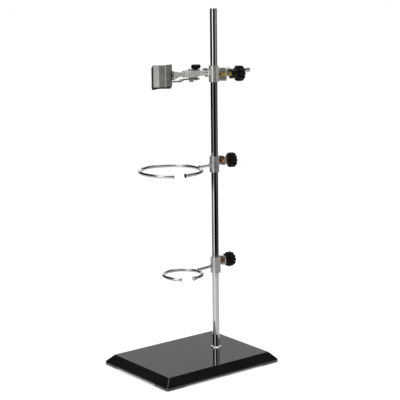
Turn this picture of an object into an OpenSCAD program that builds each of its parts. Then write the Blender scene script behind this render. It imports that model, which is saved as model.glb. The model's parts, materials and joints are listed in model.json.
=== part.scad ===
/* [Base] */
// Length of the base along X
base_l = 243; // [200:1:280]
// Width of the base along Y
base_w = 186; // [150:1:220]
// Height of the top of the base above the table
base_h = 18; // [16:0.5:24]
// How far the sloped sides lean in
base_slope = 13; // [8:0.5:16]
// Distance from the rod to the near short end of the base
rod_from_end = 66.5; // [50:0.5:90]

/* [Upright rod] */
// Diameter of the upright rod
rod_d = 12; // [10:0.5:14]
// Height of the rod above the base
rod_h = 600; // [500:10:750]

/* [Ring clamps] */
// Thickness of the ring wire
wire_d = 6; // [5:0.5:7]
// Inner diameter of the large ring
large_ring_id = 100; // [80:1:110]
// Inner diameter of the small ring
small_ring_id = 60; // [40:1:70]
// Distance from the rod to the centre of the large ring
large_ring_reach = 84.5; // [76:0.5:110]
// Distance from the rod to the centre of the small ring
small_ring_reach = 75; // [56:1:100]
// Height of the large ring clamp
large_clamp_z = 350; // [300:5:400]
// Height of the small ring clamp
small_clamp_z = 170; // [80:5:230]
// Direction of the large ring clamp's screw, seen from above
large_clamp_turn = -11; // [-45:1:45]
// Direction of the small ring clamp's screw, seen from above
small_clamp_turn = 3; // [-45:1:45]

/* [Boss head and flask clamp] */
// Height of the boss head
head_z = 507; // [460:1:590]
// Direction of the boss head's screw, seen from above
head_turn = -8; // [-45:1:45]
// Diameter of the flask clamp's arm
arm_d = 8; // [7:0.5:9]
// Distance from the rod to the middle of the jaws
jaw_reach = 91.4; // [90:0.2:110]
// Height of the jaw plates
jaw_h = 36; // [30:1:42]

/* [Knobs] */
// Diameter of the ring clamps' knobs
knob_d = 26; // [22:0.5:30]
// Diameter of the boss head's knob
head_knob_d = 27.5; // [22:0.5:28]
// Number of lobes on a knob
knob_lobes = 10; // [6:1:12]

/* [Hidden] */

$fn = 64;
eps = 0.01;

// Running clearance of a shaft in its hole, on the radius
fit_gap = 0.05;

// Base
base_x0 = rod_from_end - base_l;
base_x1 = rod_from_end;
base_y1 = base_w / 2;
base_wall = 3.5;
base_lip = 4.5;
base_corner = 4;
foot_l = 35;
foot_block = 20;
arch_short = 4.2;
arch_long = 2.6;
base_boss_d = 30;
base_boss_z = 9;

// Stud at the foot of the rod
stud_d = 10;
stud_end_z = 1.2;
collar_d = 19.5;
collar_h = 2.6;
washer_t = 1.5;
base_nut_h = 5.2;
base_nut_af = 17;
turn_gap = 0.1;

// Bent strap that hooks round the rod
strap_t = 2.4;
strap_h = 28;
strap_in = rod_d / 2 + 0.3;
strap_out = strap_in + strap_t;
strap_front = 4.5;
strap_bend = 6.4;
strap_web_y = -6;
ring_web_x = 17;
ring_tab_h = 16;
ring_tab_z = 4.3;
head_web_x = 20.5;
head_tab_h = 22.4;
head_rib_h = 2.4;
head_rib_y = 3;
head_rib_x = 7.5;
head_tab_z = -2.8;

// Clamping screws and knobs
screw_d = 6;
screw_pitch = 1;
thumb_pitch = 0.8;
screw_tip_gap = 0.15;
thread_depth = 0.45;
bush_d = 11;
bush_h = 1.8;
knob_h = 11.5;
hub_d = 15;
hub_h = 4;
insert_d = 7.5;
insert_h = 2;
ring_knob_x = 27.3;
head_knob_x = 45;
head_hub_h = 12;
head_hub_d = 17;
head_insert_d = 9.4;

// Rings
ring_drop = 5;
large_ring_gap = 19.2;
large_gap_turn = -98.5;
small_ring_gap = 20;
small_gap_turn = -115;
ring_head_d = 8;
ring_head_t = 1.8;
ring_arm_d = 5.6;
ring_arm_z = -1.8;
ring_arm_end_z = -2.6;
ring_arm_foot_d = 8;
ring_arm_foot_t = 1;

// Boss head sleeve
sleeve_y = 18.2;
sleeve_d = 16;
sleeve_x0 = -5;
sleeve_x1 = 42;
thumb_x = 3;
thumb_d = 5;
thumb_stud_l = 15;
thumb_head_d = 13;
thumb_head_h = 7;
thumb_head_y = sleeve_y + sleeve_d / 2 + 3.2;

// Flask clamp
arm_x0 = -19.5;
arm_x1 = 82.6;
body_x0 = -49.4;
body_x1 = -9.2;
body_flat_x = -24;
body_h = 10.8;
body_w = 13;
body_end_d = 9.8;
pivot_x = -34;
pivot_d = 5;
lock_r = 9.1;
lock_x = pivot_x + lock_r;
lock_plate_t = 1.5;
lock_knob_d = 16.5;
lock_knob_h = 7.8;
far_arm_t = 2;
far_arm_w = 12;
far_arm_z = -9.9;
far_arm_drop = 3;
spacer_t = -body_h / 2 - 0.25 - (far_arm_z + far_arm_t);
nut_h = 3.2;
nut_af = 8;
tail_r = 14.5;
slot_w = pivot_d + 0.6;
slot_from = -22;
slot_to = 50;
tail_from = -33;
tail_to = 62;

// Jaws
leaf_x = 17.5;
leaf_y = 10.1;
jaw_end_y = 4.5;
jaw_apex_y = jaw_end_y + leaf_y;
jaw_t = 1.5;
liner_t = 2;
leaf_turn = atan(leaf_y / leaf_x);
liner_over = 1.2;
liner_below = 2.2;
ear_h = 15;
ear_y = 7;
stem_flare_x = -jaw_reach + leaf_x;
stem_flare_h = 13.6;
stem_neck_x = -55;
stem_tail_d = 8;
pin_d = 3;
pin_x = -44;
near_ear_z = 0;
far_ear_z = -1.4;
far_drop = 3;
stem_rivet_l = 2.5;
rivet_z = 4;
rivet_d = 2.6;
rivet_head_d = 4.6;
rivet_head_t = 1;

black = [0.05, 0.05, 0.055];
chrome = [0.86, 0.87, 0.88];
brass = [0.80, 0.58, 0.24];
nickel = [0.66, 0.67, 0.66];
rubber = [0.10, 0.09, 0.08];

// ---------- placing ----------

module large_clamp() {
    translate([0, 0, large_clamp_z]) rotate([0, 0, large_clamp_turn]) children();
}

module small_clamp() {
    translate([0, 0, small_clamp_z]) rotate([0, 0, small_clamp_turn]) children();
}

module head_clamp() {
    translate([0, 0, head_z]) rotate([0, 0, head_turn]) children();
}

// The flask clamp's own frame: X along its arm, away from the jaws
module flask_clamp() {
    head_clamp() translate([0, sleeve_y, 0]) children();
}

// A cylinder along X that starts at the origin
module rod_x(d, l) {
    rotate([0, 90, 0]) cylinder(d = d, h = l);
}

// A round bar along X with chamfered ends
module bar_x(d, l, c0, c1) {
    rotate([0, 90, 0]) rotate_extrude()
        polygon([[0, 0], [d / 2 - c0, 0], [d / 2, c0], [d / 2, l - c1], [d / 2 - c1, l], [0, l]]);
}

// ---------- base ----------

module rounded_plan(x0, x1, y1, r) {
    union() {
        translate([x0 + r, -y1]) square([x1 - x0 - 2 * r, 2 * y1]);
        translate([x0, -y1 + r]) square([x1 - x0, 2 * y1 - 2 * r]);
        for (x = [x0 + r, x1 - r], y = [-y1 + r, y1 - r]) translate([x, y]) circle(r = r);
    }
}

// Side profile of the base: an upright lip, then a sloped side up to the flat top
module base_profile(a0, a1, lip, slope, top) {
    polygon([[a0, -eps], [a1, -eps], [a1, lip], [a1 - slope, top], [a0 + slope, top], [a0, lip]]);
}

module base_form(in, drop) {
    intersection() {
        translate([0, base_w, 0]) rotate([90, 0, 0]) linear_extrude(2 * base_w)
            base_profile(base_x0 + in, base_x1 - in, base_lip - drop / 2, base_slope, base_h - drop);
        rotate([90, 0, 90]) translate([0, 0, base_x0 - 1]) linear_extrude(base_l + 2)
            base_profile(-base_y1 + in, base_y1 - in, base_lip - drop / 2, base_slope, base_h - drop);
        linear_extrude(base_h) rounded_plan(base_x0 + in, base_x1 - in, base_y1 - in, base_corner - in / 2);
    }
}

module arch_cut(l, h) {
    translate([0, 10, 0]) rotate([90, 0, 0]) linear_extrude(20)
        polygon([[-l / 2, -1], [l / 2, -1], [l / 2 - 5, h], [-l / 2 + 5, h]]);
}

module base_plate() {
    color(black) difference() {
        base_form(0, 0);
        difference() {
            translate([0, 0, -eps]) base_form(base_wall, base_wall);
            for (x = [base_x0, base_x1 - foot_block], y = [-base_y1, base_y1 - foot_block])
                translate([x, y, -1]) cube([foot_block, foot_block, base_h]);
            translate([0, 0, base_boss_z]) cylinder(d = base_boss_d, h = base_h);
        }
        for (x = [base_x0, base_x1]) translate([x, 0, 0]) rotate([0, 0, 90])
            arch_cut(base_w - 2 * foot_l, arch_short);
        for (y = [-base_y1, base_y1]) translate([(base_x0 + base_x1) / 2, y, 0])
            arch_cut(base_l - 2 * foot_l, arch_long);
        translate([0, 0, -1]) cylinder(d = stud_d + 2 * fit_gap, h = base_h + 2);
    }
}

// Chromed collar that the rod's shoulder stands on
module rod_collar() {
    r0 = stud_d / 2 + fit_gap;
    color(chrome) translate([0, 0, base_h + turn_gap]) rotate_extrude()
        polygon([[r0, 0], [collar_d / 2, 0], [collar_d / 2, 0.8], [collar_d / 2 - 1.2, 1.8],
                 [rod_d / 2 + 0.6, collar_h], [rod_d / 2 + 0.25, collar_h], [rod_d / 2 + 0.25, 1.2],
                 [r0, 1.2]]);
}

module base_washer() {
    color(nickel) translate([0, 0, base_boss_z - turn_gap - washer_t]) difference() {
        cylinder(d = 21, h = washer_t);
        translate([0, 0, -1]) cylinder(d = stud_d + 2 * fit_gap, h = washer_t + 2);
    }
}

module hex_nut(af, h, bore) {
    difference() {
        cylinder(d = af / cos(30), h = h, $fn = 6);
        translate([0, 0, -1]) cylinder(d = bore, h = h + 2);
    }
}

module base_nut() {
    color(nickel) translate([0, 0, base_boss_z - washer_t - 2 * turn_gap - base_nut_h])
        hex_nut(base_nut_af, base_nut_h, stud_d + 2 * fit_gap);
}

// ---------- upright rod ----------

module upright_rod() {
    z0 = base_h + 1.5;
    z1 = base_h + rod_h;
    r = rod_d / 2;
    color(chrome) rotate_extrude()
        polygon([[0, stud_end_z], [stud_d / 2 - 0.8, stud_end_z], [stud_d / 2, stud_end_z + 0.8],
                 [stud_d / 2, z0], [r, z0], [r, z1 - 1.2], [r - 0.35, z1 - 0.35], [r - 1.2, z1], [0, z1]]);
}

// ---------- bent strap ----------

// Plan of the strap: half a turn round the rod, a short front leg, a long back leg and a web
module strap_plan(web_x) {
    bend_x = web_x + strap_t - strap_bend;
    bend_y = strap_out - strap_bend;
    union() {
        intersection() {
            difference() {
                circle(r = strap_out);
                circle(r = strap_in);
            }
            translate([-20, -20]) square([20, 40]);
        }
        translate([0, -strap_out]) square([strap_front, strap_t]);
        translate([0, strap_in]) square([bend_x, strap_t]);
        translate([bend_x, bend_y]) intersection() {
            difference() {
                circle(r = strap_bend);
                circle(r = strap_bend - strap_t);
            }
            square(strap_bend + 1);
        }
        translate([web_x, strap_web_y]) square([strap_t, bend_y - strap_web_y]);
    }
}

// Side view of the strap: tall round the rod, narrow at the tab
module strap_side(web_x, tab_h, tab_z) {
    polygon([[-strap_out - 1, -strap_h / 2], [strap_front, -strap_h / 2],
             [strap_front + 4, tab_z - tab_h / 2], [web_x + 4, tab_z - tab_h / 2],
             [web_x + 4, tab_z + tab_h / 2], [strap_front + 4, tab_z + tab_h / 2],
             [strap_front, strap_h / 2], [-strap_out - 1, strap_h / 2]]);
}

// Rounds one corner of the web's free end
module web_corner_cut(r) {
    difference() {
        translate([-1, -r, -r]) cube([strap_t + 2, 2 * r, 2 * r]);
        translate([-2, r, -r]) rotate([0, 90, 0]) cylinder(r = r, h = strap_t + 4);
        translate([-2, r, -3 * r]) cube([strap_t + 4, 2 * r, 4 * r]);
        translate([-2, -2 * r, -3 * r]) cube([strap_t + 4, 4 * r, 2 * r]);
    }
}

module strap(web_x, tab_h, tab_z) {
    color(chrome) difference() {
        intersection() {
            translate([0, 0, -strap_h / 2]) linear_extrude(strap_h) strap_plan(web_x);
            translate([0, strap_out + 1, 0]) rotate([90, 0, 0]) linear_extrude(2 * strap_out + 2)
                strap_side(web_x, tab_h, tab_z);
        }
        translate([web_x, strap_web_y, tab_z + tab_h / 2]) web_corner_cut(4);
        translate([web_x, strap_web_y, tab_z - tab_h / 2]) mirror([0, 0, 1]) web_corner_cut(4);
        translate([web_x - 1, 0, tab_z]) rod_x(screw_d + 2 * fit_gap, strap_t + 2);
    }
}

// Ribs along the top and bottom edges of the boss head's back leg, on the inside
module head_ribs() {
    for (z = [head_tab_z - head_tab_h / 2, head_tab_z + head_tab_h / 2 - head_rib_h])
        translate([head_rib_x, strap_in - head_rib_y, z])
            cube([head_web_x - head_rib_x + 0.5, head_rib_y + 0.5, head_rib_h]);
}

// Round threaded bush on the outside of the web
module bush(web_x, tab_z) {
    color(nickel) translate([web_x + strap_t, 0, tab_z]) difference() {
        bar_x(bush_d, bush_h, 0, 0.5);
        translate([-1, 0, 0]) rod_x(screw_d + 2 * fit_gap, bush_h + 2);
    }
}

// ---------- screws and knobs ----------

// A threaded stud along X, drawn with one ring for each pitch, from its tip to its root
module stud_x(d, l, depth, pitch) {
    turns = floor((l - 3) / pitch);
    r = d / 2;
    color(brass) rotate([0, 90, 0]) rotate_extrude()
        polygon(concat(
            [[0, 0], [r - 1.2, 0], [r - 0.4, 1]],
            [for (i = [0 : turns - 1], k = [0 : 1])
                [k == 0 ? r - depth : r, 1.5 + (i + k * 0.5) * pitch]],
            [[r, l], [0, l]]));
}

module star_plan(d) {
    lobe_r = d * 0.092;
    union() {
        circle(r = d * 0.37);
        for (i = [0 : knob_lobes - 1]) rotate([0, 0, (i + 0.5) * 360 / knob_lobes])
            translate([d / 2 - lobe_r, 0]) circle(r = lobe_r);
    }
}

// A star knob along X: hub, then the lobed head with a shallow dish in its outer face
module star_knob_x(d, h, hub_dia, hub_len, bore, bore_l) {
    rim = d / 2;
    color(black) difference() {
        rotate([0, 90, 0]) union() {
            cylinder(d1 = hub_dia - 1, d2 = hub_dia, h = hub_len + eps);
            translate([0, 0, hub_len]) intersection() {
                linear_extrude(h) star_plan(d);
                rotate_extrude()
                    polygon([[0, 0], [rim - 0.8, 0], [rim + 0.1, 0.9], [rim + 0.1, h - 1.4],
                             [rim - 1.4, h], [rim - 4.5, h], [rim - 5.5, h - 1], [0, h - 1]]);
            }
        }
        translate([-1, 0, 0]) rod_x(bore, bore_l + 1);
    }
}

// The metal insert at the mouth of a knob's hub, with the stud's bore through it
module knob_insert_x(tab_z, x0, d) {
    color(brass) translate([x0 - 0.8, 0, tab_z]) difference() {
        bar_x(d, insert_h + 0.8, 0.5, 0);
        translate([-1, 0, 0]) rod_x(screw_d + 2 * fit_gap, insert_h + 3);
    }
}

module clamp_screw(tab_z, knob_x) {
    x0 = rod_d / 2 + screw_tip_gap;
    translate([x0, 0, tab_z]) stud_x(screw_d, knob_x + knob_h * 0.6 - x0, thread_depth, screw_pitch);
}

module clamp_knob(tab_z, knob_x, d, hub_l, hub_dia, mouth_d) {
    translate([knob_x - hub_l, 0, tab_z]) difference() {
        star_knob_x(d, knob_h, hub_dia, hub_l, mouth_d, insert_h);
        rod_x(screw_d + 2 * fit_gap, hub_l + knob_h * 0.6 + 0.3);
    }
}

// ---------- rings ----------

// A split ring of round wire in the plane z = 0, with a flat head on each end
module split_ring(id, gap, turn) {
    r = id / 2 + wire_d / 2;
    half = asin(gap / 2 / r);
    color(chrome) rotate([0, 0, turn]) union() {
        rotate([0, 0, half]) rotate_extrude(angle = 360 - 2 * half, $fn = 96)
            translate([r, 0]) circle(d = wire_d, $fn = 48);
        for (s = [-1, 1]) rotate([0, 0, s * half]) translate([r, 0, 0]) rotate([s * 90, 0, 0])
            translate([0, 0, -ring_head_t]) cylinder(d = ring_head_d, h = ring_head_t);
    }
}

// The arm from the strap down to the top of the ring wire, coped to fit it
module ring_arm(id, reach) {
    r = id / 2 + wire_d / 2;
    x1 = -reach + r + 1;
    drop = ring_arm_z - ring_arm_end_z;
    run = -strap_out - x1;
    turn = atan(drop / run);
    color(chrome) difference() {
        union() {
            translate([-strap_out, 0, ring_arm_z]) rotate([0, 180 - turn, 0]) translate([-1, 0, 0])
                rod_x(ring_arm_d, run / cos(turn) + 1);
            translate([-strap_out - ring_arm_foot_t, 0, ring_arm_z]) rod_x(ring_arm_foot_d, ring_arm_foot_t);
        }
        translate([0, 0, -20]) cylinder(r = strap_out, h = 40);
        translate([-reach, 0, -ring_drop]) rotate_extrude($fn = 96)
            translate([r, 0]) circle(d = wire_d, $fn = 48);
    }
}

module ring_at(reach) {
    translate([-reach, 0, -ring_drop]) children();
}

// ---------- boss head ----------

module head_sleeve() {
    l = sleeve_x1 - sleeve_x0;
    color(chrome) head_clamp() difference() {
        union() {
            translate([sleeve_x0, sleeve_y, 0]) bar_x(sleeve_d, l, 0.8, 0.8);
            translate([sleeve_x0 + 1, strap_out, -6]) cube([head_web_x - sleeve_x0 - 6, 5, 12]);
            translate([thumb_x, sleeve_y, 0]) rotate([-90, 0, 0]) cylinder(d = 10, h = sleeve_d / 2 + 2);
        }
        translate([sleeve_x0 - 1, sleeve_y, 0]) rod_x(arm_d + 2 * fit_gap, l + 2);
        translate([thumb_x, sleeve_y, 0]) rotate([-90, 0, 0])
            cylinder(d = thumb_d + 2 * fit_gap, h = sleeve_d);
        translate([0, 0, -20]) cylinder(r = strap_out, h = 40);
    }
}

module thumb_stud() {
    y0 = sleeve_y + arm_d / 2 + screw_tip_gap;
    head_clamp() translate([thumb_x, y0, 0]) rotate([0, 0, 90])
        stud_x(thumb_d, thumb_stud_l - 2, thread_depth * 0.8, thumb_pitch);
}

module thumb_head() {
    ribs = 24;
    y0 = sleeve_y + arm_d / 2 + screw_tip_gap;
    color(nickel) head_clamp() translate([thumb_x, thumb_head_y, 0]) rotate([-90, 0, 0]) difference() {
        rotate_extrude() polygon([[0, 0], [thumb_head_d / 2 - 0.8, 0], [thumb_head_d / 2, 0.8],
            [thumb_head_d / 2, thumb_head_h - 0.8], [thumb_head_d / 2 - 0.8, thumb_head_h],
            [0, thumb_head_h]]);
        for (i = [0 : ribs - 1]) rotate([0, 0, i * 360 / ribs]) translate([thumb_head_d / 2 + 0.25, 0, -1])
            cylinder(d = 1, h = thumb_head_h + 2, $fn = 4);
        translate([0, 0, -1])
            cylinder(d = thumb_d + 2 * fit_gap, h = y0 + thumb_stud_l - 2 - thumb_head_y + 1.3);
    }
}

// ---------- flask clamp ----------

module clamp_arm() {
    color(chrome) flask_clamp() translate([arm_x0, 0, 0]) bar_x(arm_d, arm_x1 - arm_x0, 0.6, 0.9);
}

module clamp_body() {
    color(nickel) flask_clamp() difference() {
        union() {
            intersection() {
                translate([body_x0, -body_w / 2, -body_h / 2])
                    cube([body_flat_x - body_x0 + 3, body_w, body_h]);
                translate([body_x0, 0, 0]) bar_x(body_w + 2, body_flat_x - body_x0 + 3, 1.2, 1.2);
            }
            translate([body_flat_x, 0, 0]) rotate([0, 90, 0])
                cylinder(d1 = body_h, d2 = body_end_d, h = body_x1 - body_flat_x);
        }
        translate([arm_x0 - 0.5, 0, 0]) rod_x(arm_d + 2 * fit_gap, body_x1 - arm_x0 + 2);
        translate([body_x0 - 1, 0, 0]) rod_x(stem_tail_d, 11.5);
        translate([pin_x, 0, -10]) cylinder(d = pin_d, h = 20);
        translate([pivot_x, 0, -10]) cylinder(d = pivot_d, h = 20);
        translate([lock_x, 0, -10]) cylinder(d = pivot_d + 2 * fit_gap, h = 20);
    }
}

module stem_pin() {
    color(nickel) flask_clamp()
        translate([pin_x, 0, -body_h / 2 - 0.6]) cylinder(d = pin_d, h = body_h + 1.2);
}

// Pivot bolt: low round head on top of the body, threaded below
module pivot_bolt() {
    top = body_h / 2 + lock_plate_t;
    low = far_arm_z - nut_h - 1;
    color(nickel) flask_clamp() translate([pivot_x, 0, 0]) union() {
        translate([0, 0, low]) cylinder(d = pivot_d, h = top - low + 0.5);
        translate([0, 0, top]) rotate_extrude()
            polygon([[0, 0], [4.5, 0], [4.5, 0.7], [3.3, 1.7], [0, 1.7]]);
    }
}

module pivot_spacer() {
    color(nickel) flask_clamp() translate([pivot_x, 0, -body_h / 2 - spacer_t]) difference() {
        cylinder(d = 10, h = spacer_t);
        translate([0, 0, -1]) cylinder(d = pivot_d, h = spacer_t + 2);
    }
}

module pivot_nut() {
    color(nickel) flask_clamp() translate([pivot_x, 0, far_arm_z - 0.25 - nut_h])
        hex_nut(nut_af, nut_h, pivot_d);
}

// Thin plate on top of the body, under the bolt head and the knob
module lock_plate() {
    x0 = pivot_x - 6.5;
    x1 = lock_x + 7;
    w = 11;
    color(nickel) flask_clamp() translate([0, 0, body_h / 2]) difference() {
        union() {
            translate([x0 + w / 2, -w / 2, 0]) cube([x1 - x0 - w, w, lock_plate_t]);
            for (x = [x0 + w / 2, x1 - w / 2]) translate([x, 0, 0]) cylinder(d = w, h = lock_plate_t);
        }
        translate([pivot_x, 0, -1]) cylinder(d = pivot_d, h = lock_plate_t + 2);
        translate([lock_x, 0, -1]) cylinder(d = pivot_d + 0.6, h = lock_plate_t + 2);
    }
}

// Lock screw: runs from the knob through the body and the slot, with a head below the slot
module lock_screw() {
    low = far_arm_z - 0.25;
    color(nickel) flask_clamp() translate([lock_x, 0, low]) union() {
        cylinder(d = pivot_d, h = body_h / 2 + lock_plate_t + 6 - low);
        translate([0, 0, -1.6]) rotate_extrude() polygon([[0, 0], [2.8, 0], [4.2, 1], [4.2, 1.6], [0, 1.6]]);
    }
}

module lock_knob() {
    color(black) flask_clamp() translate([lock_x, 0, body_h / 2 + lock_plate_t + 0.3]) rotate([0, -90, 0])
        star_knob_x(lock_knob_d, lock_knob_h - 1.5, 10, 1.5, pivot_d + 2 * fit_gap, 6);
}

// ---------- jaws ----------

// One V of the jaw, in plan: from y_off inside the outer face, t thick, open towards +Y
module vee_plan(y_off, t, over) {
    d = y_off / cos(leaf_turn);
    dt = t / cos(leaf_turn);
    k = leaf_y / leaf_x;
    xo = leaf_x + over;
    polygon([[-xo, xo * k + d], [0, d], [xo, xo * k + d],
             [xo, xo * k + d + dt], [0, d + dt], [-xo, xo * k + d + dt]]);
}

module at_jaw(side) {
    flask_clamp() translate([-jaw_reach, 0, side > 0 ? -far_drop : 0]) mirror([0, side > 0 ? 1 : 0, 0])
        translate([0, -jaw_apex_y, 0]) children();
}

// Jaw plate with an ear turned outwards at the end nearer the body
module jaw_plate(ear_z) {
    color(nickel) difference() {
        union() {
            translate([0, 0, -jaw_h / 2]) linear_extrude(jaw_h) vee_plan(0, jaw_t, 0);
            translate([leaf_x - jaw_t, leaf_y - ear_y, ear_z - ear_h / 2]) cube([jaw_t, ear_y + 1, ear_h]);
        }
        for (z = [-rivet_z, rivet_z])
            translate([leaf_x - 5, leaf_y - ear_y + 3, ear_z + z]) rod_x(rivet_d, 8);
    }
}

module jaw_liner() {
    color(rubber) translate([0, 0, -jaw_h / 2 - liner_below]) linear_extrude(jaw_h + liner_below + 0.5)
        vee_plan(jaw_t, liner_t, 0);
}

// Rivets through the ear into the piece behind it, with a second head when they go right through
module ear_rivets(ear_z, grip, through) {
    y0 = leaf_y - ear_y + 3;
    color(nickel) for (z = [-rivet_z, rivet_z]) translate([leaf_x - jaw_t, y0, ear_z + z]) union() {
        rod_x(rivet_d, jaw_t + grip);
        translate([-rivet_head_t, 0, 0]) bar_x(rivet_head_d, rivet_head_t, 0.5, 0);
        if (through) translate([jaw_t + grip, 0, 0]) bar_x(rivet_head_d, rivet_head_t, 0, 0.5);
    }
}

// Cast stem, bell-shaped at the near jaw's ear, down to the round tail in the body
module near_stem() {
    ear_mid = -jaw_apex_y + leaf_y - ear_y / 2;
    color(nickel) flask_clamp() difference() {
        union() {
            hull() {
                translate([stem_flare_x, ear_mid - ear_y / 2, -stem_flare_h / 2])
                    cube([1.5, ear_y, stem_flare_h]);
                translate([stem_neck_x, 0, 0]) rotate([0, 90, 0]) cylinder(d = 6.6, h = 0.5, $fn = 32);
            }
            translate([stem_neck_x, 0, 0]) rod_x(5, 3);
            translate([stem_neck_x + 2, 0, 0]) rod_x(stem_tail_d, body_x0 + 10 - stem_neck_x - 2);
        }
        translate([pin_x, 0, -10]) cylinder(d = pin_d, h = 20);
        for (z = [-rivet_z, rivet_z]) translate([stem_flare_x - 1, ear_mid - ear_y / 2 + 3, z])
            rod_x(rivet_d, stem_rivet_l + 1.2);
    }
}

// A pie slice from the origin, between two angles
module slice_plan(r, a0, a1) {
    intersection() {
        circle(r = r);
        polygon([[0, 0], [2 * r * cos(a0), 2 * r * sin(a0)],
                 [2 * r * cos((a0 + a1) / 2), 2 * r * sin((a0 + a1) / 2)],
                 [2 * r * cos(a1), 2 * r * sin(a1)]]);
    }
}

// Plan of the far arm: a strip, a round eye and a slotted tail
module far_arm_plan(x0, ear_far) {
    difference() {
        union() {
            polygon([[pivot_x, -far_arm_w / 2], [pivot_x, far_arm_w / 2], [pivot_x - 22.5, 7.5],
                     [x0 + 8, ear_far], [x0, ear_far], [x0, 1.2], [pivot_x - 34.5, 1.2],
                     [pivot_x - 24.5, -2.5]]);
            translate([pivot_x, 0]) circle(r = far_arm_w / 2);
            translate([pivot_x, 0]) slice_plan(tail_r, tail_from, tail_to);
        }
        translate([pivot_x, 0]) circle(d = pivot_d + 2 * fit_gap);
        translate([pivot_x, 0]) difference() {
            slice_plan(lock_r + slot_w / 2, slot_from, slot_to);
            circle(r = lock_r - slot_w / 2);
        }
    }
}

// Side view of the far arm: level at the pivot, then set down towards the jaw
module far_arm_side(x0) {
    low = far_arm_z - far_arm_drop;
    bend0 = pivot_x - 16;
    bend1 = pivot_x - 22;
    polygon([[x0, low], [bend1, low], [bend0, far_arm_z], [pivot_x + tail_r + 1, far_arm_z],
             [pivot_x + tail_r + 1, far_arm_z + far_arm_t], [bend0 - 0.5, far_arm_z + far_arm_t],
             [bend1 - 0.5, low + far_arm_t], [x0, low + far_arm_t]]);
}

// Arm under the body, with a slotted tail and an upturned end for the far jaw
module far_arm() {
    x0 = stem_flare_x;
    ear_mid = jaw_apex_y - leaf_y + ear_y / 2;
    color(nickel) flask_clamp() difference() {
        union() {
            intersection() {
                translate([0, 0, far_arm_z - far_arm_drop - 1]) linear_extrude(far_arm_t + far_arm_drop + 2)
                    far_arm_plan(x0, ear_mid + ear_y / 2);
                translate([0, 20, 0]) rotate([90, 0, 0]) linear_extrude(40) far_arm_side(x0);
            }
            translate([x0, ear_mid - ear_y / 2, far_arm_z - far_arm_drop]) cube([far_arm_t, ear_y, 16]);
        }
        for (z = [-rivet_z, rivet_z])
            translate([x0 - 1, ear_mid + ear_y / 2 - 3, far_ear_z - far_drop + z]) rod_x(rivet_d, 5);
    }
}

module large_ring() {
    large_clamp() ring_at(large_ring_reach) split_ring(large_ring_id, large_ring_gap, large_gap_turn);
}
module large_ring_arm() { large_clamp() ring_arm(large_ring_id, large_ring_reach); }
module large_ring_boss() { large_clamp() strap(ring_web_x, ring_tab_h, ring_tab_z); }
module large_ring_bush() { large_clamp() bush(ring_web_x, ring_tab_z); }
module large_ring_screw() { large_clamp() clamp_screw(ring_tab_z, ring_knob_x); }
module large_ring_knob() {
    large_clamp() clamp_knob(ring_tab_z, ring_knob_x, knob_d, hub_h, hub_d, insert_d);
}
module large_ring_insert() { large_clamp() knob_insert_x(ring_tab_z, ring_knob_x - hub_h, insert_d); }

module small_ring() {
    small_clamp() ring_at(small_ring_reach) split_ring(small_ring_id, small_ring_gap, small_gap_turn);
}
module small_ring_arm() { small_clamp() ring_arm(small_ring_id, small_ring_reach); }
module small_ring_boss() { small_clamp() strap(ring_web_x, ring_tab_h, ring_tab_z); }
module small_ring_bush() { small_clamp() bush(ring_web_x, ring_tab_z); }
module small_ring_screw() { small_clamp() clamp_screw(ring_tab_z, ring_knob_x); }
module small_ring_knob() {
    small_clamp() clamp_knob(ring_tab_z, ring_knob_x, knob_d, hub_h, hub_d, insert_d);
}
module small_ring_insert() { small_clamp() knob_insert_x(ring_tab_z, ring_knob_x - hub_h, insert_d); }

module head_boss() {
    color(chrome) head_clamp() union() {
        strap(head_web_x, head_tab_h, head_tab_z);
        head_ribs();
    }
}
module head_bush() { head_clamp() bush(head_web_x, head_tab_z); }
module head_screw() { head_clamp() clamp_screw(head_tab_z, head_knob_x); }
module head_knob() {
    head_clamp() clamp_knob(head_tab_z, head_knob_x, head_knob_d, head_hub_h, head_hub_d, head_insert_d);
}
module head_insert() { head_clamp() knob_insert_x(head_tab_z, head_knob_x - head_hub_h, head_insert_d); }

module near_jaw() { at_jaw(-1) jaw_plate(near_ear_z); }
module near_liner() { at_jaw(-1) jaw_liner(); }
module near_rivets() { at_jaw(-1) ear_rivets(near_ear_z, stem_rivet_l, false); }
module far_jaw() { at_jaw(1) jaw_plate(far_ear_z); }
module far_liner() { at_jaw(1) jaw_liner(); }
module far_rivets() { at_jaw(1) ear_rivets(far_ear_z, far_arm_t, true); }

base_plate();
rod_collar();
base_washer();
base_nut();
upright_rod();
large_ring();
large_ring_arm();
large_ring_boss();
large_ring_bush();
large_ring_screw();
large_ring_knob();
large_ring_insert();
small_ring();
small_ring_arm();
small_ring_boss();
small_ring_bush();
small_ring_screw();
small_ring_knob();
small_ring_insert();
head_boss();
head_sleeve();
head_bush();
head_screw();
head_knob();
head_insert();
thumb_stud();
thumb_head();
clamp_arm();
clamp_body();
pivot_bolt();
pivot_spacer();
pivot_nut();
lock_plate();
lock_screw();
lock_knob();
near_stem();
stem_pin();
near_jaw();
near_liner();
near_rivets();
far_arm();
far_jaw();
far_liner();
far_rivets();
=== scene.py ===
import json
import math

import bpy
from mathutils import Matrix, Vector

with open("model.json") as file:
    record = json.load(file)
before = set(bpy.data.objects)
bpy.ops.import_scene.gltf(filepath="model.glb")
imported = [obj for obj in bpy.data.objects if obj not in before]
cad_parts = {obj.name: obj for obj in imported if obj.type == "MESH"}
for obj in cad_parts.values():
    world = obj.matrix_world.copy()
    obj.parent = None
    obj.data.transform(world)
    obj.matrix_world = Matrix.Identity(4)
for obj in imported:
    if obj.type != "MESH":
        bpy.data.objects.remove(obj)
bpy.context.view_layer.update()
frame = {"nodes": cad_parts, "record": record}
NODES = frame["nodes"]
RECORD = frame["record"]

# ---------------------------------------------------------------- helpers


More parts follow.
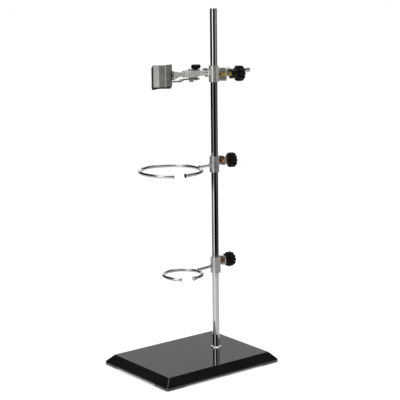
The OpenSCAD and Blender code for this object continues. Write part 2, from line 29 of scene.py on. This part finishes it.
class Mat:
    """A node material round one Principled shader."""

    def __init__(self, name):
        self.m = bpy.data.materials.new(name)
        self.m.use_nodes = True
        self.nt = self.m.node_tree
        self.bsdf = self.nt.nodes["Principled BSDF"]
        self.coord = self.nt.nodes.new("ShaderNodeTexCoord")

    def set(self, **kw):
        for k, v in kw.items():
            self.bsdf.inputs[k.replace("_", " ")].default_value = v

    def node(self, kind, **kw):
        n = self.nt.nodes.new(kind)
        for k, v in kw.items():
            if k in n.inputs:
                n.inputs[k].default_value = v
            else:
                setattr(n, k, v)
        return n

    def link(self, a, b):
        self.nt.links.new(a, b)

    def mapping(self, scale=(1, 1, 1)):
        """The piece's own coordinates, stretched by a scale for each axis."""
        mp = self.node("ShaderNodeMapping")
        mp.inputs["Scale"].default_value = scale
        self.link(self.coord.outputs["Object"], mp.inputs["Vector"])
        return mp.outputs["Vector"]

    def noise(self, vec, scale, detail=4.0, rough=0.5):
        n = self.node("ShaderNodeTexNoise")
        n.inputs["Scale"].default_value = scale
        n.inputs["Detail"].default_value = detail
        n.inputs["Roughness"].default_value = rough
        self.link(vec, n.inputs["Vector"])
        return n.outputs["Fac"]

    def ramp(self, fac, stops):
        r = self.node("ShaderNodeValToRGB")
        els = r.color_ramp.elements
        while len(els) < len(stops):
            els.new(0.5)
        for e, (pos, col) in zip(els, stops):
            e.position = pos
            e.color = col if len(col) == 4 else (*col, 1.0)
        self.link(fac, r.inputs["Fac"])
        return r.outputs["Color"]

    def grey_ramp(self, fac, lo, hi, p0=0.0, p1=1.0):
        return self.ramp(fac, [(p0, (lo, lo, lo)), (p1, (hi, hi, hi))])

    def bump(self, height, strength, distance):
        b = self.node("ShaderNodeBump")
        b.inputs["Strength"].default_value = strength
        b.inputs["Distance"].default_value = distance
        self.link(height, b.inputs["Height"])
        self.link(b.outputs["Normal"], self.bsdf.inputs["Normal"])
        return b

    def to(self, out, name):
        self.link(out, self.bsdf.inputs[name])


def chrome_material(name, tint, rough_lo, rough_hi, streak):
    """Bright plating: faint streaks along the metal and a little haze."""
    m = Mat(name)
    m.set(Metallic=1.0)
    v = m.mapping(scale=streak)
    n = m.noise(v, 60.0, 5.0, 0.6)
    m.to(m.grey_ramp(n, rough_lo, rough_hi, 0.3, 0.75), "Roughness")
    d = [c * 0.93 for c in tint]
    m.to(m.ramp(m.noise(m.mapping(), 35.0, 3.0, 0.6), [(0.35, tint), (0.8, d)]), "Base Color")
    m.bump(m.noise(v, 240.0, 3.0, 0.5), 0.06, 0.0002)
    return m.m


# The enamel rounds the base's pressed edges by this much.
BASE_EDGE_RADIUS = 0.0014


def base_material():
    """Glossy black stove enamel: orange peel, faint mottling, and edges rounded to catch light."""
    m = Mat("base_enamel")
    m.set(Coat_Weight=1.0, Coat_Roughness=0.02, Coat_IOR=1.7, IOR=1.6)
    v = m.mapping()
    n = m.noise(v, 14.0, 6.0, 0.65)
    m.to(m.ramp(n, [(0.3, (0.003, 0.003, 0.003)), (0.8, (0.007, 0.007, 0.007))]), "Base Color")
    m.to(m.grey_ramp(m.noise(v, 60.0, 5.0, 0.65), 0.05, 0.14, 0.3, 0.75), "Roughness")
    b = m.bump(m.noise(v, 420.0, 2.0, 0.5), 0.05, 0.0003)
    edge = m.node("ShaderNodeBevel", samples=8)
    edge.inputs["Radius"].default_value = BASE_EDGE_RADIUS
    m.link(edge.outputs["Normal"], b.inputs["Normal"])
    m.link(edge.outputs["Normal"], m.bsdf.inputs["Coat Normal"])
    return m.m


def knob_material():
    """Moulded black phenolic with a fine satin texture."""
    m = Mat("knob_phenolic")
    m.set(IOR=1.4, Specular_IOR_Level=0.35)
    v = m.mapping()
    m.to(m.ramp(m.noise(v, 90.0, 4.0, 0.6),
                [(0.3, (0.0015, 0.0015, 0.0015)), (0.75, (0.005, 0.0048, 0.0045))]), "Base Color")
    m.to(m.grey_ramp(m.noise(v, 160.0, 4.0, 0.6), 0.30, 0.48, 0.3, 0.7), "Roughness")
    m.bump(m.noise(v, 1500.0, 2.0, 0.5), 0.12, 0.0002)
    return m.m


def brass_material(name, dark, mid, painted_highlight):
    """Brass, in random patches from dark tarnish to yellow metal; the yellow patches are painted
    highlight.
    """
    m = Mat(name)
    m.set(Metallic=1.0)
    v = m.mapping()
    # The last colour of this ramp is painted highlight, scattered in random yellow patches.
    m.to(m.ramp(m.noise(v, 260.0, 5.0, 0.6), [(0.35, dark), (0.5, mid), (0.68, painted_highlight)]), "Base Color")
    m.to(m.grey_ramp(m.noise(v, 300.0, 3.0, 0.5), 0.16, 0.34), "Roughness")
    m.bump(m.noise(v, 1200.0, 2.0, 0.5), 0.15, 0.0002)
    return m.m


def casting_material(name, lo, hi, metallic, rough=(0.34, 0.52)):
    """Tumbled die casting: a fine grain, darker in the pits."""
    m = Mat(name)
    m.set(Metallic=metallic)
    v = m.mapping()
    m.to(m.ramp(m.noise(v, 90.0, 6.0, 0.7), [(0.3, lo), (0.75, hi)]), "Base Color")
    m.to(m.grey_ramp(m.noise(v, 200.0, 5.0, 0.7), rough[0], rough[1], 0.3, 0.7), "Roughness")
    m.bump(m.noise(v, 900.0, 4.0, 0.6), 0.35, 0.0003)
    return m.m


# The paler stretches of a jaw plate fade out over this distance at each side.
PALE_SOFT = 0.0007


def stretch_mask(m, direction, d0, d1):
    """1 where a point lies between two distances along a direction, else 0."""
    dot = m.node("ShaderNodeVectorMath", operation="DOT_PRODUCT")
    m.link(m.coord.outputs["Object"], dot.inputs[0])
    dot.inputs[1].default_value = direction
    both = m.node("ShaderNodeMath", operation="MULTIPLY")
    ends = ((d0 - PALE_SOFT, d0 + PALE_SOFT), (d1 + PALE_SOFT, d1 - PALE_SOFT))
    for k, (a, b) in enumerate(ends):
        edge = m.node("ShaderNodeMapRange", interpolation_type="SMOOTHSTEP")
        edge.inputs["From Min"].default_value = a
        edge.inputs["From Max"].default_value = b
        m.link(dot.outputs["Value"], edge.inputs["Value"])
        m.link(edge.outputs[0], both.inputs[k])
    return both.outputs[0]


def jaw_material(direction, stretches):
    """Jaw plate: grey casting, paler in two stretches along a direction."""
    m = Mat("jaw_plate")
    m.set(Metallic=0.55)
    v = m.mapping()
    grain = m.ramp(m.noise(v, 110.0, 6.0, 0.75),
                   [(0.3, (0.13, 0.14, 0.125)), (0.75, (0.25, 0.26, 0.24))])
    pale = m.ramp(m.noise(v, 60.0, 5.0, 0.7),
                    [(0.3, (0.44, 0.44, 0.42)), (0.75, (0.62, 0.61, 0.59))])
    either = m.node("ShaderNodeMath", operation="MAXIMUM")
    for k, (d0, d1) in enumerate(stretches):
        m.link(stretch_mask(m, direction, d0, d1), either.inputs[k])
    mix = m.node("ShaderNodeMix", data_type="RGBA")
    m.link(either.outputs[0], mix.inputs[0])
    m.link(grain, mix.inputs[6])
    m.link(pale, mix.inputs[7])
    m.to(mix.outputs[2], "Base Color")
    m.to(m.grey_ramp(m.noise(v, 200.0, 5.0, 0.7), 0.30, 0.50, 0.3, 0.7), "Roughness")
    m.bump(m.noise(v, 900.0, 4.0, 0.6), 0.35, 0.0003)
    return m.m


def plated_material():
    """Zinc plate: bright grey with a slightly cloudy surface."""
    m = Mat("zinc_plate")
    m.set(Metallic=1.0)
    v = m.mapping()
    m.to(m.ramp(m.noise(v, 120.0, 5.0, 0.6),
                [(0.3, (0.46, 0.46, 0.45)), (0.75, (0.66, 0.66, 0.64))]), "Base Color")
    m.to(m.grey_ramp(m.noise(v, 150.0, 5.0, 0.6), 0.22, 0.38, 0.3, 0.7), "Roughness")
    m.bump(m.noise(v, 800.0, 3.0, 0.5), 0.15, 0.0002)
    return m.m


def rubber_material():
    """Matt brown-black rubber, slightly uneven in tone."""
    m = Mat("jaw_rubber")
    m.set(IOR=1.45)
    v = m.mapping()
    m.to(m.ramp(m.noise(v, 60.0, 5.0, 0.6),
                [(0.3, (0.006, 0.005, 0.0045)), (0.75, (0.018, 0.012, 0.010))]), "Base Color")
    m.to(m.grey_ramp(m.noise(v, 200.0, 3.0, 0.5), 0.62, 0.82), "Roughness")
    m.bump(m.noise(v, 700.0, 3.0, 0.6), 0.3, 0.0003)
    return m.m


MATS = {
    "base_black": base_material(),
    "rod_chrome": chrome_material("rod_chrome", (0.78, 0.79, 0.80), 0.015, 0.05, (1, 1, 0.05)),
    "ring_chrome": chrome_material("ring_chrome", (0.80, 0.80, 0.79), 0.04, 0.11, (1, 1, 1)),
    "strap_chrome": chrome_material("strap_chrome", (0.84, 0.84, 0.82), 0.20, 0.32, (1, 1, 1)),
    "plated_steel": plated_material(),
    # The screw brass's third colour, pale yellow, is painted highlight.
    "screw_brass": brass_material("screw_brass", (0.16, 0.035, 0.015), (0.38, 0.13, 0.05),
                                  (0.85, 0.52, 0.20)),
    "knob_black": knob_material(),
    "clamp_grey": casting_material("clamp_casting", (0.52, 0.52, 0.49), (0.82, 0.81, 0.77), 0.72,
                                   (0.22, 0.42)),
    "jaw_rubber": rubber_material(),
}

SLOT = {s["node"]: s["material_slot"] for s in RECORD["subparts"]}


def paint(node, material):
    """Give a CAD piece one material."""
    NODES[node].data.materials.clear()
    NODES[node].data.materials.append(material)


for node in NODES:
    paint(node, MATS[SLOT[node]])

# Each jaw plate is paler along its outer edge and along its ridge. Distances run along
# the boss head's screw, which the flask clamp is parallel to, from the plate's outer edge.
EDGE_BAND = (-0.001, 0.0078)
RIDGE_BAND = (0.0168, 0.0182)
along = Vector(next(j["axis"] for j in RECORD["behaviour"]["joints"] if j["name"] == "head_screw_feed"))
for node in ("near_jaw", "far_jaw"):
    outer = min(v.co.dot(along) for v in NODES[node].data.vertices)
    paint(node, jaw_material(along, [(outer + a, outer + b) for a, b in (EDGE_BAND, RIDGE_BAND)]))

# The boss head is duller than the ring clamps, and its screw is yellower.
satin = casting_material("head_satin", (0.78, 0.78, 0.75), (0.95, 0.94, 0.91), 0.9, (0.14, 0.28))
# The head brass's third colour, pale yellow, is painted highlight.
olive = brass_material("head_brass", (0.20, 0.13, 0.03), (0.42, 0.30, 0.06), (0.80, 0.62, 0.20))
blackened = casting_material("black_oxide", (0.01, 0.01, 0.01), (0.03, 0.03, 0.03), 0.6)
for nodes, material in ((("head_boss", "head_sleeve"), satin), (("head_screw", "head_insert"), olive),
                        (("stem_pin",), blackened)):
    for node in nodes:
        paint(node, material)

# ---------------------------------------------------------------- floor and light


def mesh_object(name, verts, faces):
    """A new mesh object, linked into the scene."""
    me = bpy.data.meshes.new(name)
    me.from_pydata(verts, [], faces)
    me.update()
    ob = bpy.data.objects.new(name, me)
    bpy.context.scene.collection.objects.link(ob)
    return ob


def floor_material():
    """White studio paper."""
    m = Mat("floor_paper")
    m.set(Roughness=0.9, Specular_IOR_Level=0.05)
    grain = m.noise(m.mapping(), 2.0, 3.0, 0.5)
    m.to(m.ramp(grain, [(0.3, (0.87, 0.87, 0.87)), (0.7, (0.89, 0.89, 0.89))]), "Base Color")
    return m.m


FLOOR_REACH = 60.0
corners = [(x * FLOOR_REACH, y * FLOOR_REACH, 0) for x, y in ((-1, -1), (1, -1), (1, 1), (-1, 1))]
floor = mesh_object("studio_floor", corners, [(0, 1, 2, 3)])
floor.data.materials.append(floor_material())
# Metal mirrors the studio of the world instead, whose FLOOR_BAND stands in for the floor.
floor.visible_glossy = False

# The studio as the metal sees it. Angles are in degrees from the direction of the camera
# that took the photograph, positive to its right; 180 is behind the stand.
# Each band is a row of (angle, brightness), and mirrored rays pick a band by their height.
FRONT_AZ = math.radians(231.8)
FLOOR_BAND = [(-180, 0.75), (-120, 0.62), (-75, 0.50), (-40, 0.88), (-15, 0.85), (5, 0.62), (45, 0.56),
              (90, 0.50), (140, 0.60), (180, 0.75)]
# Upright chrome mirrors the room level by level, so each stretch of the rod has its own band.
LOWER_BAND = [(-180, 0.33), (-166, 0.33), (-156, 0.2), (-70, 0.2), (-58, 0.1), (-50, 0.95), (-30, 0.95),
              (-22, 0.0), (44, 0.0), (54, 0.06), (156, 0.08), (166, 0.33), (180, 0.33)]
MIDDLE_BAND = [(-180, 0.33), (-166, 0.33), (-156, 0.0), (-56, 0.0), (-49, 0.30), (-27, 0.30),
               (-20, 0.01), (44, 0.0), (54, 0.13), (92, 0.13), (104, 0.03), (156, 0.03),
               (166, 0.33), (180, 0.33)]
LOW_BAND = [(-180, 0.33), (-166, 0.33), (-156, 0.0), (-50, 0.0), (-45, 1.3), (-24, 1.3), (-18, 0.02),
            (20, 0.0), (40, 0.0), (52, 0.30), (92, 0.30), (104, 0.03), (156, 0.03),
            (166, 0.33), (180, 0.33)]
MID_BAND = [(-180, 1.0), (-158, 1.0), (-148, 0.02), (-72, 0.02), (-50, 0.5), (-15, 0.5),
            (0, 0.15), (50, 0.15), (72, 0.02), (148, 0.02), (158, 1.0), (180, 1.0)]
# Behind the stand a white strip lies between the horizon and the level the base's top mirrors.
BACK_STRIP = [(-180, 1.0), (-150, 1.0), (-138, 0.0), (138, 0.0), (150, 1.0), (180, 1.0)]
# What everything but a mirrored ray sees, and what mirrors see high overhead.
OPEN_SKY = 1.15
OVERHEAD = 1.3
# Heights, as the upward part of a ray's direction, over which one band gives way to the next.
ROD_LEVELS = ((-0.262, -0.240, LOWER_BAND), (-0.200, -0.186, MIDDLE_BAND), (-0.115, -0.100, LOW_BAND))
STRIP_FROM = (0.0, 0.04)
STRIP_TO = (0.24, 0.27)
MID_FROM = (0.38, 0.48)
OVERHEAD_FROM = (0.80, 0.90)


def studio_world():
    """Plain white light, with softboxes and dark gaps that only mirrored rays see."""
    w = bpy.data.worlds.new("studio")
    w.use_nodes = True
    nt = w.node_tree
    bg = nt.nodes["Background"]

    def new(kind, **kw):
        n = nt.nodes.new(kind)
        for k, v in kw.items():
            setattr(n, k, v)
        return n

    def dot(vec, x, y):
        n = new("ShaderNodeVectorMath", operation="DOT_PRODUCT")
        nt.links.new(vec, n.inputs[0])
        n.inputs[1].default_value = (x, y, 0.0)
        return n.outputs["Value"]

    def math_node(op, a, b):
        n = new("ShaderNodeMath", operation=op)
        for k, v in enumerate((a, b)):
            if isinstance(v, (int, float)):
                n.inputs[k].default_value = v
            else:
                nt.links.new(v, n.inputs[k])
        return n.outputs[0]

    def band(az, stops):
        r = new("ShaderNodeValToRGB")
        els = r.color_ramp.elements
        while len(els) < len(stops):
            els.new(0.5)
        for e, (deg, v) in zip(els, stops):
            e.position = 0.5 + deg / 360.0
            e.color = (v, v, v, 1.0)
        nt.links.new(az, r.inputs["Fac"])
        return r.outputs["Color"]

    def step(val, lo, hi):
        n = new("ShaderNodeMapRange", interpolation_type="SMOOTHSTEP")
        n.inputs["From Min"].default_value = lo
        n.inputs["From Max"].default_value = hi
        nt.links.new(val, n.inputs["Value"])
        return n.outputs[0]

    def mix(fac, a, b):
        n = new("ShaderNodeMix", data_type="RGBA")
        nt.links.new(fac, n.inputs[0])
        for sock, v in ((n.inputs[6], a), (n.inputs[7], b)):
            if isinstance(v, float):
                sock.default_value = (v, v, v, 1.0)
            else:
                nt.links.new(v, sock)
        return n.outputs[2]

    vec = new("ShaderNodeTexCoord").outputs["Generated"]
    cx, cy = math.cos(FRONT_AZ), math.sin(FRONT_AZ)
    az = math_node("ARCTAN2", dot(vec, -cy, cx), dot(vec, cx, cy))
    az = math_node("ADD", math_node("DIVIDE", az, 2 * math.pi), 0.5)
    sep = new("ShaderNodeSeparateXYZ")
    nt.links.new(vec, sep.inputs[0])
    z = sep.outputs["Z"]
    low = band(az, FLOOR_BAND)
    for z0, z1, stops in ROD_LEVELS:
        low = mix(step(z, z0, z1), low, band(az, stops))
    under_top = math_node("SUBTRACT", 1.0, step(z, *STRIP_TO))
    strip = math_node("MULTIPLY", step(z, *STRIP_FROM), under_top)
    lift = new("ShaderNodeMix", data_type="RGBA", blend_type="LIGHTEN")
    nt.links.new(strip, lift.inputs[0])
    nt.links.new(low, lift.inputs[6])
    nt.links.new(band(az, BACK_STRIP), lift.inputs[7])
    room = mix(step(z, *MID_FROM), lift.outputs[2], band(az, MID_BAND))
    room = mix(step(z, *OVERHEAD_FROM), room, OVERHEAD)
    glossy = new("ShaderNodeLightPath").outputs["Is Glossy Ray"]
    nt.links.new(mix(glossy, OPEN_SKY, room), bg.inputs["Color"])
    return w


bpy.context.scene.world = studio_world()
bpy.context.scene.view_settings.view_transform = "Standard"


def area(name, loc, target, size, power):
    """A square soft light that shows in no reflection."""
    li = bpy.data.lights.new(name, "AREA")
    li.shape = "SQUARE"
    li.size = size
    li.energy = power
    ob = bpy.data.objects.new(name, li)
    ob.location = loc
    ob.rotation_euler = (Vector(target) - Vector(loc)).to_track_quat("-Z", "Y").to_euler()
    ob.visible_glossy = False
    bpy.context.scene.collection.objects.link(ob)


area("key", (-2.2, -1.0, 2.4), (0, 0, 0.3), 1.4, 22)
area("fill", (1.6, -2.4, 2.0), (0, 0, 0.3), 1.6, 12)

# ---------------------------------------------------------------- camera

# The photograph's camera, fitted to the base, the rod and both rings. Angles are in radians.
TURN = 0.6671  # round the rod
PITCH = 0.2006  # downwards
ROLL = -0.0086
YAW = -0.0006
SENSOR_MM = 36.0
LENS_MM = 118.314
SHIFT = (-0.0353, -0.008875)
CAMERA_AT = Vector((0.0, -2.2476, 0.7491))  # before the turn round the rod
FAR_CLIP = 200.0

level = Vector((math.sin(YAW), math.cos(YAW), 0))
level_right = Vector((math.cos(YAW), -math.sin(YAW), 0))
level_up = Vector((0, 0, 1))
forward = math.cos(PITCH) * level - math.sin(PITCH) * level_up
pitched_up = math.sin(PITCH) * level + math.cos(PITCH) * level_up
right = math.cos(ROLL) * level_right + math.sin(ROLL) * pitched_up
up = -math.sin(ROLL) * level_right + math.cos(ROLL) * pitched_up

lens = bpy.data.cameras.new("photo_camera")
lens.sensor_width = SENSOR_MM
lens.lens = LENS_MM
lens.shift_x, lens.shift_y = SHIFT
lens.clip_end = FAR_CLIP
camera = bpy.data.objects.new("photo_camera", lens)
turn = Matrix.Rotation(-TURN, 3, "Z")
# The camera looks along its own -Z, so the columns are right, up, backward and place.
columns = [turn @ v for v in (right, up, -forward, CAMERA_AT)]
camera.matrix_world = Matrix([[c[row] for c in columns] for row in range(3)] + [[0, 0, 0, 1]])
bpy.context.scene.collection.objects.link(camera)
bpy.context.scene.camera = camera
